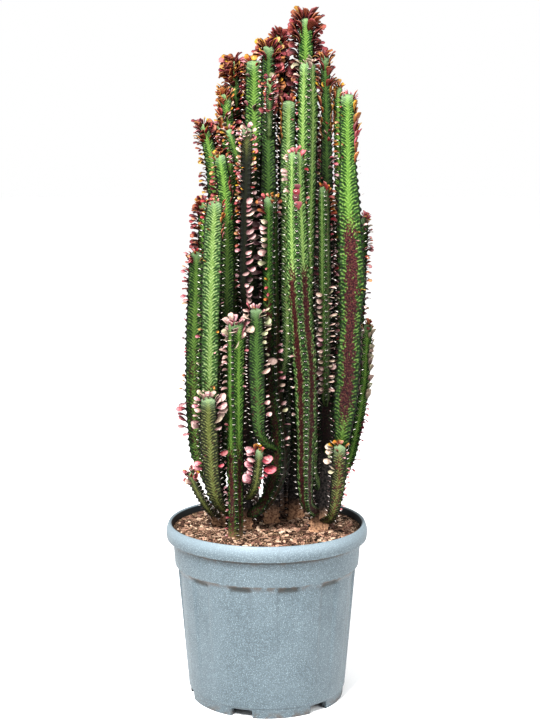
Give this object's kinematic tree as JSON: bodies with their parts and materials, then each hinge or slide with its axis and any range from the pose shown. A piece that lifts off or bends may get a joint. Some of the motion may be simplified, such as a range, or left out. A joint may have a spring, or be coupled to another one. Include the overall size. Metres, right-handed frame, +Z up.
{
  "type": "potted euphorbia",
  "caption": "Potted euphorbia: a tall bush of upright three-ribbed green stems with small red and bronze leaves, rooted in bark soil in a ribbed plastic nursery pot",
  "frame": {"origin": "on the floor under the middle of the pot, between its feet", "axes": "+Z up along the pot's axis, -Y is the front as seen in the picture, +X to the right of that view"},
  "size_m": [0.3482, 0.3384, 1.1478],
  "materials": {
    "pot": "satin",
    "soil": "matte",
    "stem_pale": "satin",
    "stem_green": "satin",
    "stem_dark": "satin",
    "stem_olive": "satin"
  },
  "bodies": {
    "root": {"pot": "pot", "soil": "soil", "main_tallest": "stem_green", "main_middle": "stem_dark", "main_inner": "stem_green", "main_left": "stem_green", "main_right": "stem_dark", "main_rear_left": "stem_green", "main_rear_right": "stem_green", "main_front": "stem_green", "branch_front_pale": "stem_pale", "branch_crown_pale": "stem_pale", "branch_right_big": "stem_green", "branch_front_olive": "stem_olive", "branch_front_left": "stem_pale", "branch_far_left": "stem_green", "branch_middle_front": "stem_dark", "branch_mid_low": "stem_dark", "branch_low_olive": "stem_olive", "branch_low_left": "stem_olive", "branch_low_right": "stem_olive", "branch_slender_right": "stem_green", "branch_left_thin": "stem_green", "branch_left_inner": "stem_green", "branch_gold": "stem_green", "branch_small_top": "stem_dark", "branch_small_left": "stem_green", "branch_diagonal": "stem_green", "branch_olive_top": "stem_olive", "branch_gold_column": "stem_pale", "branch_small_inner": "stem_pale", "branch_dark_cluster": "stem_dark", "branch_right_thin": "stem_green", "branch_pale_tip": "stem_pale", "branch_right_hidden": "stem_dark", "branch_left_hidden": "stem_dark", "branch_back_1": "stem_green", "branch_back_2": "stem_green", "branch_back_3": "stem_dark", "branch_back_4": "stem_green", "branch_back_5": "stem_green", "branch_back_6": "stem_dark", "branch_back_7": "stem_green", "branch_back_8": "stem_green", "branch_back_9": "stem_dark", "branch_back_10": "stem_olive", "branch_back_11": "stem_olive", "branch_back_12": "stem_green"}
  },
  "joints": []
}
